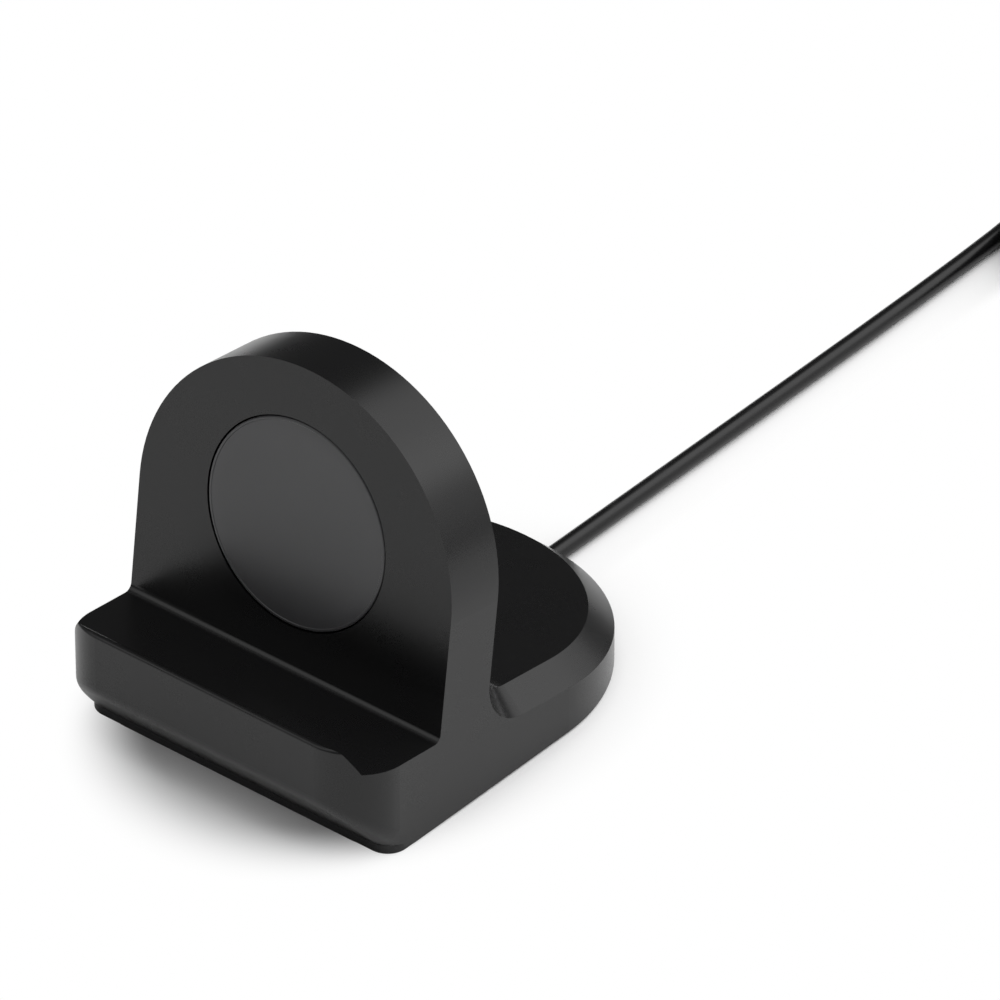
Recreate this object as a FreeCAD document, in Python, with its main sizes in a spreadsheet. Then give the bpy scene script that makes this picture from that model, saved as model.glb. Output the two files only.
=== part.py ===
import FreeCAD, Part
import math
import os
import re
import Sketcher

# Smartwatch charging dock, in millimetres
#
# A moulded housing with a front lip, a sloping watch ledge, an upright that leans back and a bevelled rear
# foot. A round charging module sits in the upright. The origin is under the middle of the dock on the
# table, +Z is up and the watch faces -Y.

SIZES = {
    # Housing outline
    "width": 53.0,
    "depth": 68.7,
    "corner_radius": 7.8,
    "rim_gap": 0.3,
    # Front undercut, lip and watch ledge
    "crease_height": 8.97,
    "undercut_depth": 7.0,
    "lip_height": 18.4,
    "lip_top_width": 0.9,
    "lip_slant_run": 1.7,
    "lip_foot_height": 14.85,
    "face_setback": 15.9,
    "face_foot_height": 13.5,
    # Upright
    "face_lean": 7.44,
    "upright_thickness": 12.4,
    "arch_spring": 17.5,
    # Rear foot
    "rear_top_height": 6.97,
    "rear_slope": 7.125,
    "rear_fillet": 4.8,
    "bevel_inset": 3.55,
    "bevel_drop": 2.9,
    # Small radii of the moulding
    "undercut_fillet": 3.0,
    "lip_fillet": 0.42,
    "foot_fillet": 1.1,
    # Walls of the shell
    "wall": 2.0,
    "seat_wall": 2.3,
    "seat_step": 1.3,
    "upright_side_wall": 3.8,
    "front_core_margin": 6.0,
    "upright_core_foot": 9.0,
    # Charging module
    "puck_height": 21.16,
    "puck_radius": 14.75,
    "puck_gap": 0.35,
    "puck_depth": 7.2,
    "well_wall": 1.5,
    "well_floor": 1.2,
    "disc_thickness": 1.2,
    "disc_rim": 0.5,
    "dish_depth": 0.35,
    "disc_edge": 0.15,
    "cup_wall": 1.1,
    "cup_floor": 0.8,
    "cup_shoulder": 1.2,
    "coil_outer_radius": 11.0,
    "coil_inner_radius": 5.4,
    "coil_thickness": 1.2,
    "coil_gap": 0.1,
    "ferrite_radius": 12.4,
    "ferrite_thickness": 0.8,
    "magnet_radius": 4.6,
    "puck_board_thickness": 1.0,
    "lead_slot_width": 4.2,
    "lead_slot_depth": 4.4,
    # Base cover and anti-slip pad
    "pad_thickness": 1.3,
    "pad_setback": 6.2,
    "pad_corner": 4.5,
    "cover_thickness": 1.8,
    "cover_setback": 9.2,
    "cover_corner": 3.0,
    "fit_clearance": 0.15,
    # Screws of the base cover and their bosses
    "screw_diameter": 1.9,
    "screw_length": 5.5,
    "screw_head_diameter": 3.6,
    "screw_head_height": 0.9,
    "bore_clearance": 0.04,
    "boss_radius": 2.5,
    "boss_bore_depth": 4.5,
    "front_boss_inset": 7.2,
    "front_boss_setback": 12.4,
    "rear_boss_inset": 9.5,
    "rear_boss_setback": 20.4,
    "drive_radius": 0.9,
    "drive_depth": 0.5,
    # Ballast plate
    "ballast_inset": 11.0,
    "ballast_margin": 0.4,
    "ballast_thickness": 4.0,
    "ballast_gap": 2.0,
    # Control board and what it carries
    "board_width": 27.0,
    "board_clearance": 6.7,
    "board_thickness": 1.0,
    "board_setback": 24.6,
    "board_corner": 1.2,
    "standoff_height": 1.0,
    "standoff_radius": 1.9,
    "board_screw_inset": 2.4,
    "chip_side": 5.0,
    "chip_height": 0.9,
    "inductor_radius": 2.6,
    "inductor_height": 2.2,
    "capacitor_length": 1.6,
    "capacitor_width": 0.8,
    "capacitor_height": 0.8,
    "capacitor_pitch": 2.0,
    # Small screws of the board and the clamp
    "small_screw_diameter": 1.4,
    "small_screw_length": 2.6,
    "small_head_diameter": 2.6,
    "small_head_height": 0.8,
    # Cable clamp
    "clamp_setback": 20.4,
    "clamp_length": 3.6,
    "clamp_width": 11.0,
    "clamp_thickness": 1.1,
    "clamp_grip": 0.9,
    "clamp_screw_spread": 3.6,
    # Cable, its channel and its leads
    "cable_diameter": 2.6,
    "cable_side": 0.5,
    "cable_slack": 0.45,
    "cable_inside_height": 4.6,
    "lead_diameter": 0.9,
    "lead_spread": 1.0,
    "lead_gap": 0.2,
    "solder_gap": 0.05,
    "lead_entry": 1.8,
    "lead_drop": 3.0,
    "lead_reach": 1.5,
    "lead_lie": 3.0,
    "supply_spread": 0.55,
    "supply_run": 1.5,
    "supply_reach": 0.6,
    "supply_lie": 1.8,
    # Coil of the rest of the cable
    "ring_mean_radius": 14.3,
    "ring_bundle": 7.8,
    "ring_round": 2.4,
    # USB plug
    "plug_body_width": 15.4,
    "plug_body_height": 7.8,
    "plug_body_length": 24.0,
    "plug_body_round": 2.2,
    "plug_boot_length": 6.0,
    "plug_boot_radius": 2.3,
    "plug_shell_width": 12.0,
    "plug_shell_height": 4.5,
    "plug_shell_length": 11.75,
    "plug_shell_wall": 0.35,
    "plug_shell_seat": 1.5,
    "tongue_width": 11.0,
    "tongue_height": 1.8,
    "tongue_tip": 1.0,
    "contact_width": 1.0,
    "contact_thickness": 0.15,
    "contact_pitch": 2.25,
    "contact_length": 7.5,
    "plug_turn": 9.0,
}

# Route of the cable's tube, from its stripped end at the clamp, out of the notch and along the table to
# where the coil begins, and of its tail from the coil to the plug: points x, y, z
ROUTE_REAR = 34.35
CABLE_ROUTE = [(0.5, 11.6, 4.6), (0.5, 18.6, 4.6), (0.5, 29.6, 1.3), (0.1, 138.0, 1.3)]
TAIL_ROUTE = [(0.1, 150.0, 3.9), (-0.3, 163.0, 3.9), (-2.1, 174.4, 3.9)]
RING_CENTRE = (14.4, 149.0)

# Places that several pieces share, as texts for expressions
FRONT = "(-depth / 2)"
REAR = "(depth / 2)"
HALF = "(width / 2)"
REAR_CENTRE = "(depth / 2 - width / 2)"
FACE_FOOT_Y = "(face_setback - depth / 2)"
COVER_TOP = "(pad_thickness + cover_thickness)"
SEAT_HALF = "(width / 2 - seat_wall)"
COVER_HALF = "(width / 2 - seat_wall - fit_clearance)"
CORE_HALF = "(width / 2 - seat_wall - seat_step)"
BACK_FOOT_Y = f"({FACE_FOOT_Y} + upright_thickness * cos(face_lean))"
BACK_FOOT_Z = "(face_foot_height - upright_thickness * sin(face_lean))"
REAR_FALL = "tan(rear_slope)"
WELL_RADIUS = "(puck_radius + puck_gap)"
WELL_OUTER = "(puck_radius + puck_gap + well_wall)"
BOARD_TOP = f"({COVER_TOP} + standoff_height + board_thickness)"
CLAMP_FRONT = f"({REAR} - clamp_setback)"
BOARD_FRONT = f"({FRONT} + board_setback)"
BOARD_REAR = f"({CLAMP_FRONT} - board_clearance)"
CLAMP_SEAT = "(cable_inside_height + cable_diameter / 2 - clamp_grip)"
CHANNEL_HALF = "(cable_diameter / 2 + cable_slack)"
LEDGE_FALL = "((lip_foot_height - face_foot_height) / (face_setback - lip_top_width - lip_slant_run))"
UNDERCUT_RUN = "(undercut_depth / (crease_height - rim_gap))"

doc = FreeCAD.newDocument("WatchDock")
sheet = doc.addObject("Spreadsheet::Sheet", "Sizes")
for row, (alias, number) in enumerate(SIZES.items(), start=1):
    sheet.set(f"A{row}", alias)
    sheet.set(f"B{row}", str(number))
    sheet.setAlias(f"B{row}", alias)
doc.recompute()

nodes = []


def linked(text):
    """Expression text with every size name pointing at its cell."""
    return re.sub(r"[a-z][a-z_]*", lambda m: f"Sizes.{m.group()}" if m.group() in SIZES else m.group(), text)


def value(text):
    """Number that an expression text gives now."""
    return float(sheet.evalExpression(linked(text)))


def bind(thing, **texts):
    """Tie properties to expressions; a double underscore in a name stands for a dot."""
    for name, text in texts.items():
        thing.setExpression(name.replace("__", "."), linked(text))


def new_body(label):
    """Body whose label names the node and its file."""
    body = doc.addObject("PartDesign::Body", label)
    body.Label = label
    nodes.append(body)
    return body


def new_sketch(body, name, plane="XY_Plane", tilt=None, **offset):
    """Sketch on one of the body's own planes, moved and tilted about its own X axis by expressions."""
    sketch = body.newObject("Sketcher::SketchObject", name)
    support = next(item for item in body.Origin.OriginFeatures if item.Role == plane)
    sketch.AttachmentSupport = [(support, "")]
    sketch.MapMode = "FlatFace"
    if tilt:
        turn = FreeCAD.Rotation(FreeCAD.Vector(1, 0, 0), value(tilt))
        sketch.AttachmentOffset = FreeCAD.Placement(FreeCAD.Vector(), turn)
        sketch.setExpression("AttachmentOffset.Rotation.Angle", linked(tilt))
    for axis, text in offset.items():
        sketch.setExpression(f"AttachmentOffset.Base.{axis}", linked(text))
    return sketch


def hold(sketch, kind, geometry, point, text):
    """One dimension of a sketch, tied to an expression."""
    if point is None:
        index = sketch.addConstraint(Sketcher.Constraint(kind, geometry, value(text)))
    else:
        index = sketch.addConstraint(Sketcher.Constraint(kind, geometry, point, value(text)))
    sketch.setExpression(f"Constraints[{index}]", linked(text))


def draw_outline(sketch, corners):
    """Closed outline. Each corner is (x, y) or (x, y, radius, turn) where an arc follows to the next one.

    The turn is 1 for an arc that runs anticlockwise and -1 for one that runs clockwise.
    """
    first = sketch.GeometryCount
    spots = [FreeCAD.Vector(value(corner[0]), value(corner[1]), 0) for corner in corners]
    ends = []
    for index, corner in enumerate(corners):
        start = spots[index]
        finish = spots[(index + 1) % len(corners)]
        if len(corner) == 2:
            sketch.addGeometry(Part.LineSegment(start, finish))
            ends.append((1, 2))
            continue
        radius = value(corner[2])
        chord = finish - start
        across = FreeCAD.Vector(-chord.y, chord.x, 0).normalize() * corner[3]
        middle = (start + finish) / 2
        centre = middle + across * math.sqrt(max(radius ** 2 - (chord.Length / 2) ** 2, 0))
        top = centre - across * radius
        sketch.addGeometry(Part.Arc(start, top, finish))
        ends.append((1, 2) if corner[3] > 0 else (2, 1))
    for index, corner in enumerate(corners):
        after = (index + 1) % len(corners)
        link = Sketcher.Constraint("Coincident", first + index, ends[index][1], first + after, ends[after][0])
        sketch.addConstraint(link)
        hold(sketch, "DistanceX", first + index, ends[index][0], corner[0])
        hold(sketch, "DistanceY", first + index, ends[index][0], corner[1])
        if len(corner) > 2:
            hold(sketch, "Radius", first + index, None, corner[2])


def draw_circle(sketch, x, y, radius):
    """Circle at a place that expressions give."""
    index = sketch.GeometryCount
    centre = FreeCAD.Vector(value(x), value(y), 0)
    sketch.addGeometry(Part.Circle(centre, FreeCAD.Vector(0, 0, 1), value(radius)))
    hold(sketch, "DistanceX", index, 3, x)
    hold(sketch, "DistanceY", index, 3, y)
    hold(sketch, "Radius", index, None, radius)


def draw_box(sketch, low_x, low_y, high_x, high_y):
    """Rectangle between two corners."""
    draw_outline(sketch, [(low_x, low_y), (high_x, low_y), (high_x, high_y), (low_x, high_y)])


def pad(body, sketch, length, reverse=False, both=False):
    """Pad a sketch by a length."""
    feature = body.newObject("PartDesign::Pad", sketch.Name + "_pad")
    feature.Profile = sketch
    feature.Reversed = reverse
    feature.Midplane = both
    bind(feature, Length=length)
    sketch.Visibility = False
    doc.recompute()
    return feature


def pocket(body, sketch, length, reverse=False, both=False):
    """Cut a sketch into the body and make sure that it took something away."""
    before = body.Shape.Volume
    feature = body.newObject("PartDesign::Pocket", sketch.Name + "_pocket")
    feature.Profile = sketch
    feature.Reversed = reverse
    feature.Midplane = both
    bind(feature, Length=length)
    doc.recompute()
    if body.Shape.Volume > before - 0.001:
        raise RuntimeError(f"{feature.Name} cuts nothing")
    return feature


def revolve(body, sketch):
    """Turn a sketch once round its own vertical axis."""
    feature = body.newObject("PartDesign::Revolution", sketch.Name + "_turn")
    feature.Profile = sketch
    feature.ReferenceAxis = (sketch, ["V_Axis"])
    feature.Angle = 360
    doc.recompute()
    return feature


def edges_at(feature, spots, reach=0.05):
    """Names of the feature's edges that pass through the given places."""
    found = []
    for spot in spots:
        vertex = Part.Vertex(FreeCAD.Vector(*spot))
        for index, edge in enumerate(feature.Shape.Edges, start=1):
            if edge.distToShape(vertex)[0] < reach and f"Edge{index}" not in found:
                found.append(f"Edge{index}")
    if not found:
        raise RuntimeError(f"no edge of {feature.Name} at {spots}")
    return found


def round_edges(body, name, spots, radius):
    """Fillet of the edges that pass through the given places."""
    base = body.Tip
    feature = body.newObject("PartDesign::Fillet", name)
    feature.Base = (base, edges_at(base, spots))
    bind(feature, Radius=radius)
    doc.recompute()
    return feature


def housing_outline(side, front, rear_centre, corner):
    """Plan outline of the housing or of what fits in it: square front with round corners, half-round rear."""
    return [
        (f"-({side} - {corner})", front),
        (f"({side} - {corner})", front, corner, 1),
        (side, f"({front} + {corner})"),
        (side, rear_centre, side, 1),
        ("0", f"({rear_centre} + {side})", side, 1),
        (f"-{side}", rear_centre),
        (f"-{side}", f"({front} + {corner})", corner, 1),
    ]


# Dock housing

def dock_housing():
    """Moulded shell of the dock: outer form first, then its core from below and its seats."""
    body = new_body("dock_housing")
    outline = new_sketch(body, "plan", z="rim_gap")
    draw_outline(outline, housing_outline(HALF, FRONT, REAR_CENTRE, "corner_radius"))
    pad(body, outline, "face_foot_height + arch_spring + width / 2 + wall")
    cut_outer_form(body)
    soften_outer_form(body)
    hollow_shell(body)
    add_puck_well(body)
    add_cover_bosses(body)
    cut_cable_notch(body)
    return body


def cut_outer_form(body):
    """Side profile and arch, each cut straight through the plan outline."""
    above = "(face_foot_height + arch_spring + width)"
    undercut = new_sketch(body, "undercut", "YZ_Plane")
    draw_outline(undercut, [
        (FRONT, "crease_height"),
        (f"({FRONT} - wall)", "crease_height"),
        (f"({FRONT} - wall)", "(rim_gap - wall)"),
        (f"({FRONT} + undercut_depth)", "(rim_gap - wall)"),
        (f"({FRONT} + undercut_depth)", "rim_gap"),
    ])
    pocket(body, undercut, "2 * width", both=True)
    ledge = new_sketch(body, "ledge", "YZ_Plane")
    draw_outline(ledge, [
        (f"({FRONT} - wall)", "lip_height"),
        (f"({FRONT} + lip_top_width)", "lip_height"),
        (f"({FRONT} + lip_top_width + lip_slant_run)", "lip_foot_height"),
        (FACE_FOOT_Y, "face_foot_height"),
        (f"({FACE_FOOT_Y} + {above} * tan(face_lean))", f"(face_foot_height + {above})"),
        (f"({FRONT} - wall)", f"(face_foot_height + {above})"),
    ])
    pocket(body, ledge, "2 * width", both=True)
    # The rear face of the upright meets the falling top of the rear foot
    meet = (f"(({REAR} - {BACK_FOOT_Y} + tan(face_lean) * {BACK_FOOT_Z}) * {REAR_FALL} + rear_top_height)"
            f" / (1 + {REAR_FALL} * tan(face_lean))")
    rear = new_sketch(body, "rear_cut", "YZ_Plane")
    draw_outline(rear, [
        (f"({BACK_FOOT_Y} + ({meet} - {BACK_FOOT_Z}) * tan(face_lean))", f"({meet})"),
        (f"({REAR} + wall)", f"(rear_top_height - wall * {REAR_FALL})"),
        (f"({REAR} + wall)", f"({BACK_FOOT_Z} + {above})"),
        (f"({BACK_FOOT_Y} + {above} * tan(face_lean))", f"({BACK_FOOT_Z} + {above})"),
    ])
    pocket(body, rear, "2 * width", both=True)
    arch = new_sketch(body, "arch", tilt="90 - face_lean", y=FACE_FOOT_Y, z="face_foot_height")
    side = f"({HALF} + wall)"
    draw_outline(arch, [
        (HALF, "arch_spring", HALF, 1),
        ("0", f"(arch_spring + {HALF})", HALF, 1),
        (f"-{HALF}", "arch_spring"),
        (f"-{side}", "arch_spring"),
        (f"-{side}", "(arch_spring + width)"),
        (side, "(arch_spring + width)"),
        (side, "arch_spring"),
    ])
    pocket(body, arch, "3 * upright_thickness", both=True)


def soften_outer_form(body):
    """Rear fillet and bevel, the soft undercut and the small radii of lip, ledge and face."""
    lean = math.radians(value("face_lean"))
    half = value(HALF)
    rear = value(REAR)
    front = value(FRONT)
    meet_z = value("rear_top_height") + (rear - value(BACK_FOOT_Y)) * math.tan(math.radians(value("rear_slope")))
    meet_y = value(BACK_FOOT_Y) + (meet_z - value(BACK_FOOT_Z)) * math.tan(lean)
    round_edges(body, "rear_fillet", [(0, meet_y, meet_z)], "rear_fillet")
    base = body.Tip
    bevel = body.newObject("PartDesign::Chamfer", "rear_bevel")
    bevel.Base = (base, edges_at(base, [(half * math.sin(0.6), value(REAR_CENTRE) + half * math.cos(0.6),
                                         value("rear_top_height") + half * (1 - math.cos(0.6))
                                         * math.tan(math.radians(value("rear_slope"))))]))
    bevel.ChamferType = "Two distances"
    bind(bevel, Size="bevel_inset", Size2="bevel_drop")
    doc.recompute()
    crease = value("crease_height")
    round_edges(body, "undercut_soft", [(0, front, crease)], "undercut_fillet")
    lip = value("lip_height")
    round_edges(body, "lip_soft", [(0, front, lip), (0, front + value("lip_top_width"), lip)], "lip_fillet")
    foot = (0, value(FACE_FOOT_Y), value("face_foot_height"))
    round_edges(body, "ledge_foot", [foot], "foot_fillet")


def hollow_shell(body):
    """Core of the moulding: seats of pad and cover, front core, rear core and core of the upright."""
    pad_seat = new_sketch(body, "pad_seat")
    open_front = [
        (f"-({SEAT_HALF} - pad_corner)", f"({FRONT} + pad_setback - fit_clearance)"),
        (f"({SEAT_HALF} - pad_corner)", f"({FRONT} + pad_setback - fit_clearance)", "pad_corner", 1),
        (SEAT_HALF, f"({FRONT} + pad_setback - fit_clearance + pad_corner)"),
        (SEAT_HALF, REAR_CENTRE, SEAT_HALF, 1),
        ("0", f"({REAR_CENTRE} + {SEAT_HALF})", SEAT_HALF, 1),
        (f"-{SEAT_HALF}", REAR_CENTRE),
        (f"-{SEAT_HALF}", f"({FRONT} + pad_setback - fit_clearance + pad_corner)", "pad_corner", 1),
    ]
    draw_outline(pad_seat, open_front)
    pocket(body, pad_seat, "pad_thickness", reverse=True)
    cover_seat = new_sketch(body, "cover_seat")
    draw_outline(cover_seat, housing_outline(
        SEAT_HALF, f"({FRONT} + cover_setback - fit_clearance)", REAR_CENTRE, "cover_corner"))
    pocket(body, cover_seat, COVER_TOP, reverse=True)
    front_core = new_sketch(body, "front_core", "YZ_Plane")
    slant = f"(wall * sqrt(1 + {UNDERCUT_RUN} * {UNDERCUT_RUN}))"
    low_y = f"({FRONT} + (crease_height - {COVER_TOP}) * {UNDERCUT_RUN} + {slant})"
    bend_z = f"(crease_height + ({slant} - wall) / {UNDERCUT_RUN})"
    ceiling = f"(face_foot_height - wall + (face_setback - wall) * {LEDGE_FALL})"
    end_y = f"({FACE_FOOT_Y} + 2 * wall)"
    draw_outline(front_core, [
        (low_y, f"({COVER_TOP} - seat_step)"),
        (end_y, f"({COVER_TOP} - seat_step)"),
        (end_y, f"(face_foot_height - wall - 2 * wall * {LEDGE_FALL})"),
        (f"({FRONT} + wall)", ceiling),
        (f"({FRONT} + wall)", bend_z),
        (low_y, COVER_TOP),
    ])
    pocket(body, front_core, "width - 2 * front_core_margin", both=True)
    rear_core = new_sketch(body, "rear_core", tilt="-rear_slope", y=REAR, z="rear_top_height - wall")
    back = f"(({REAR_CENTRE} - {REAR}) / cos(rear_slope))"
    ahead = f"(({FACE_FOOT_Y} + wall - {REAR}) / cos(rear_slope))"
    draw_outline(rear_core, [
        (f"-{CORE_HALF}", ahead),
        (CORE_HALF, ahead),
        (CORE_HALF, back, CORE_HALF, 1),
        ("0", f"({back} + {CORE_HALF})", CORE_HALF, 1),
        (f"-{CORE_HALF}", back),
    ])
    pocket(body, rear_core, "face_foot_height")
    upright_core = new_sketch(body, "upright_core", tilt="90 - face_lean",
                              y=f"{FACE_FOOT_Y} + wall * cos(face_lean)",
                              z="face_foot_height - wall * sin(face_lean)")
    side = f"({HALF} - upright_side_wall)"
    draw_outline(upright_core, [
        (f"-{side}", "-upright_core_foot"),
        (side, "-upright_core_foot"),
        (side, "arch_spring", side, 1),
        ("0", f"(arch_spring + {side})", side, 1),
        (f"-{side}", "arch_spring"),
    ])
    pocket(body, upright_core, "upright_thickness - 2 * wall")


def add_puck_well(body):
    """Round well behind the face that holds the charging module, with a slot for its leads."""
    ring = new_sketch(body, "well_ring", tilt="90 - face_lean",
                      y=f"{FACE_FOOT_Y} + wall / 2 * cos(face_lean)",
                      z="face_foot_height - wall / 2 * sin(face_lean)")
    draw_circle(ring, "0", "puck_height", WELL_OUTER)
    pad(body, ring, "puck_depth + well_floor - wall / 2", reverse=True)
    bore = new_sketch(body, "well_bore", tilt="90 - face_lean", y=FACE_FOOT_Y, z="face_foot_height")
    draw_circle(bore, "0", "puck_height", WELL_RADIUS)
    pocket(body, bore, "puck_depth")
    slot = new_sketch(body, "well_slot", tilt="90 - face_lean",
                      y=f"{FACE_FOOT_Y} + lead_slot_depth * cos(face_lean)",
                      z="face_foot_height - lead_slot_depth * sin(face_lean)")
    draw_box(slot, "-lead_slot_width / 2", f"(puck_height - {WELL_OUTER} - wall)",
             "lead_slot_width / 2", f"(puck_height - {WELL_RADIUS} + 2 * wall)")
    pocket(body, slot, "puck_depth - lead_slot_depth + well_floor")


def boss_places():
    """Places of the four bosses: x, y and the height that each one reaches."""
    places = []
    ledge_at = f"(face_foot_height + (face_setback - front_boss_setback) * {LEDGE_FALL})"
    top_at = f"(rear_top_height + rear_boss_setback * {REAR_FALL})"
    for side in ("-", ""):
        front_x = f"{side}({HALF} - front_boss_inset)"
        rear_x = f"{side}({HALF} - rear_boss_inset)"
        places.append((front_x, f"({FRONT} + front_boss_setback)", f"({ledge_at} - wall / 2)"))
        places.append((rear_x, f"({REAR} - rear_boss_setback)", f"({top_at} - wall / 2)"))
    return places


def add_cover_bosses(body):
    """Four bosses that hang from the roof of the shell, each with a blind bore for its screw."""
    for number, (x, y, top) in enumerate(boss_places(), start=1):
        post = new_sketch(body, f"boss_{number}", z=COVER_TOP)
        draw_circle(post, x, y, "boss_radius")
        pad(body, post, f"{top} - {COVER_TOP}")
    bores = new_sketch(body, "boss_bores", z=COVER_TOP)
    for x, y, _ in boss_places():
        draw_circle(bores, x, y, "(screw_diameter / 2 + bore_clearance)")
    pocket(body, bores, "boss_bore_depth", reverse=True)


def cut_cable_notch(body):
    """Round-topped notch in the foot of the rear wall that the cable leaves by."""
    notch = new_sketch(body, "cable_notch", "XZ_Plane", z=f"-{REAR} - wall")
    arch_at = "(cable_diameter / 2 + rim_gap)"
    draw_outline(notch, [
        (f"(cable_side - {CHANNEL_HALF})", "-rim_gap"),
        (f"(cable_side + {CHANNEL_HALF})", "-rim_gap"),
        (f"(cable_side + {CHANNEL_HALF})", arch_at, CHANNEL_HALF, 1),
        ("cable_side", f"({arch_at} + {CHANNEL_HALF})", CHANNEL_HALF, 1),
        (f"(cable_side - {CHANNEL_HALF})", arch_at),
    ])
    pocket(body, notch, "seat_wall + seat_step + 2 * wall", reverse=True)


# Base cover, pad and ballast

def base_cover():
    """Plate that closes the shell, with countersunk holes, standoffs, clamp posts and the cable's slot."""
    body = new_body("base_cover")
    plate = new_sketch(body, "cover_plan", z="pad_thickness")
    draw_outline(plate, housing_outline(COVER_HALF, f"({FRONT} + cover_setback)", REAR_CENTRE, "cover_corner"))
    pad(body, plate, "cover_thickness")
    posts = new_sketch(body, "standoffs", z=COVER_TOP)
    for x, y in board_screw_places():
        draw_circle(posts, x, y, "standoff_radius")
    pad(body, posts, "standoff_height")
    saddle = new_sketch(body, "clamp_posts", z=COVER_TOP)
    for side in ("-", ""):
        draw_circle(saddle, f"(cable_side + {side}clamp_screw_spread)",
                    f"({CLAMP_FRONT} + clamp_length / 2)", "(clamp_length / 2)")
    pad(body, saddle, f"{CLAMP_SEAT} - {COVER_TOP}")
    slot = new_sketch(body, "cable_slot")
    draw_box(slot, f"(cable_side - {CHANNEL_HALF})", f"({CLAMP_FRONT} + clamp_length)",
             f"(cable_side + {CHANNEL_HALF})", f"({REAR} + wall)")
    pocket(body, slot, f"{COVER_TOP} + wall", reverse=True)
    holes = new_sketch(body, "cover_holes")
    for x, y, _ in boss_places():
        draw_circle(holes, x, y, "(screw_diameter / 2 + fit_clearance)")
    pocket(body, holes, COVER_TOP, reverse=True)
    sinks = new_sketch(body, "countersinks", z="pad_thickness")
    for x, y, _ in boss_places():
        draw_circle(sinks, x, y, "(screw_head_diameter / 2 + fit_clearance)")
    pocket(body, sinks, "screw_head_height", reverse=True)
    bores = new_sketch(body, "post_bores", z=f"{COVER_TOP} - cover_thickness / 2")
    for x, y in board_screw_places() + clamp_screw_places():
        draw_circle(bores, x, y, "(small_screw_diameter / 2 + bore_clearance)")
    pocket(body, bores, "cover_thickness + standoff_height + clamp_thickness", reverse=True)
    return body


def board_screw_places():
    """Two opposite corners of the control board."""
    near = f"({BOARD_FRONT} + board_screw_inset)"
    far = f"({BOARD_REAR} - board_screw_inset)"
    side = "(board_width / 2 - board_screw_inset)"
    return [(f"-{side}", near), (side, far)]


def clamp_screw_places():
    """One screw on each side of the cable."""
    y = f"({CLAMP_FRONT} + clamp_length / 2)"
    return [("(cable_side - clamp_screw_spread)", y), ("(cable_side + clamp_screw_spread)", y)]


def anti_slip_pad():
    """Rubber pad under the dock; its front edge shows below the undercut."""
    body = new_body("anti_slip_pad")
    plan = new_sketch(body, "pad_plan")
    draw_outline(plan, housing_outline(COVER_HALF, f"({FRONT} + pad_setback)", REAR_CENTRE, "pad_corner"))
    pad(body, plan, "pad_thickness")
    slot = new_sketch(body, "pad_slot")
    draw_box(slot, f"(cable_side - {CHANNEL_HALF})", f"({CLAMP_FRONT} + clamp_length + 2 * cable_diameter)",
             f"(cable_side + {CHANNEL_HALF})", f"({REAR} + wall)")
    pocket(body, slot, "2 * pad_thickness", reverse=True)
    return body


def ballast_plate():
    """Steel plate that lies on the base cover under the watch ledge."""
    body = new_body("ballast_plate")
    plan = new_sketch(body, "ballast_plan", z=COVER_TOP)
    near = f"({FRONT} + cover_setback + ballast_margin)"
    draw_box(plan, f"(ballast_inset - {HALF})", near, f"({HALF} - ballast_inset)", f"({BOARD_FRONT} - ballast_gap)")
    pad(body, plan, "ballast_thickness")
    return body


# Charging module

def puck_body(label):
    """Body in the module's own frame: origin in the face, Z out of the face, Y up the face."""
    body = new_body(label)
    body.Placement = FreeCAD.Placement(FreeCAD.Vector(), FreeCAD.Rotation(FreeCAD.Vector(1, 0, 0), 80))
    bind(body, Placement__Base__y=f"{FACE_FOOT_Y} + puck_height * sin(face_lean)",
         Placement__Base__z="face_foot_height + puck_height * cos(face_lean)",
         Placement__Rotation__Angle="90 - face_lean")
    return body


def turned_ring(label, inner, outer, top, bottom):
    """Flat ring or disc of the module between two depths below its front."""
    body = puck_body(label)
    section = new_sketch(body, label + "_section", "XZ_Plane")
    draw_box(section, inner, f"(-({bottom}))", outer, f"(-({top}))")
    revolve(body, section)
    return body


COIL_TOP = "(disc_thickness + coil_gap)"
COIL_BACK = "(disc_thickness + coil_gap + coil_thickness)"
FERRITE_BACK = "(disc_thickness + coil_gap + coil_thickness + ferrite_thickness)"
PUCK_BOARD_BACK = "(disc_thickness + coil_gap + coil_thickness + ferrite_thickness + puck_board_thickness)"


def charging_disc():
    """Dished front disc with a narrow flat rim and softened edges."""
    body = puck_body("charging_disc")
    section = new_sketch(body, "disc_section", "XZ_Plane")
    dish_half = "(puck_radius - disc_rim)"
    dish_round = f"(({dish_half} * {dish_half} + dish_depth * dish_depth) / (2 * dish_depth))"
    draw_outline(section, [
        ("0", "(-disc_thickness)"),
        ("puck_radius", "(-disc_thickness)"),
        ("puck_radius", "0"),
        (dish_half, "0", dish_round, -1),
        ("0", "(-dish_depth)"),
    ])
    revolve(body, section)
    round_edges(body, "disc_soft", [(value("puck_radius"), 0, 0)], "disc_edge")
    return body


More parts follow.
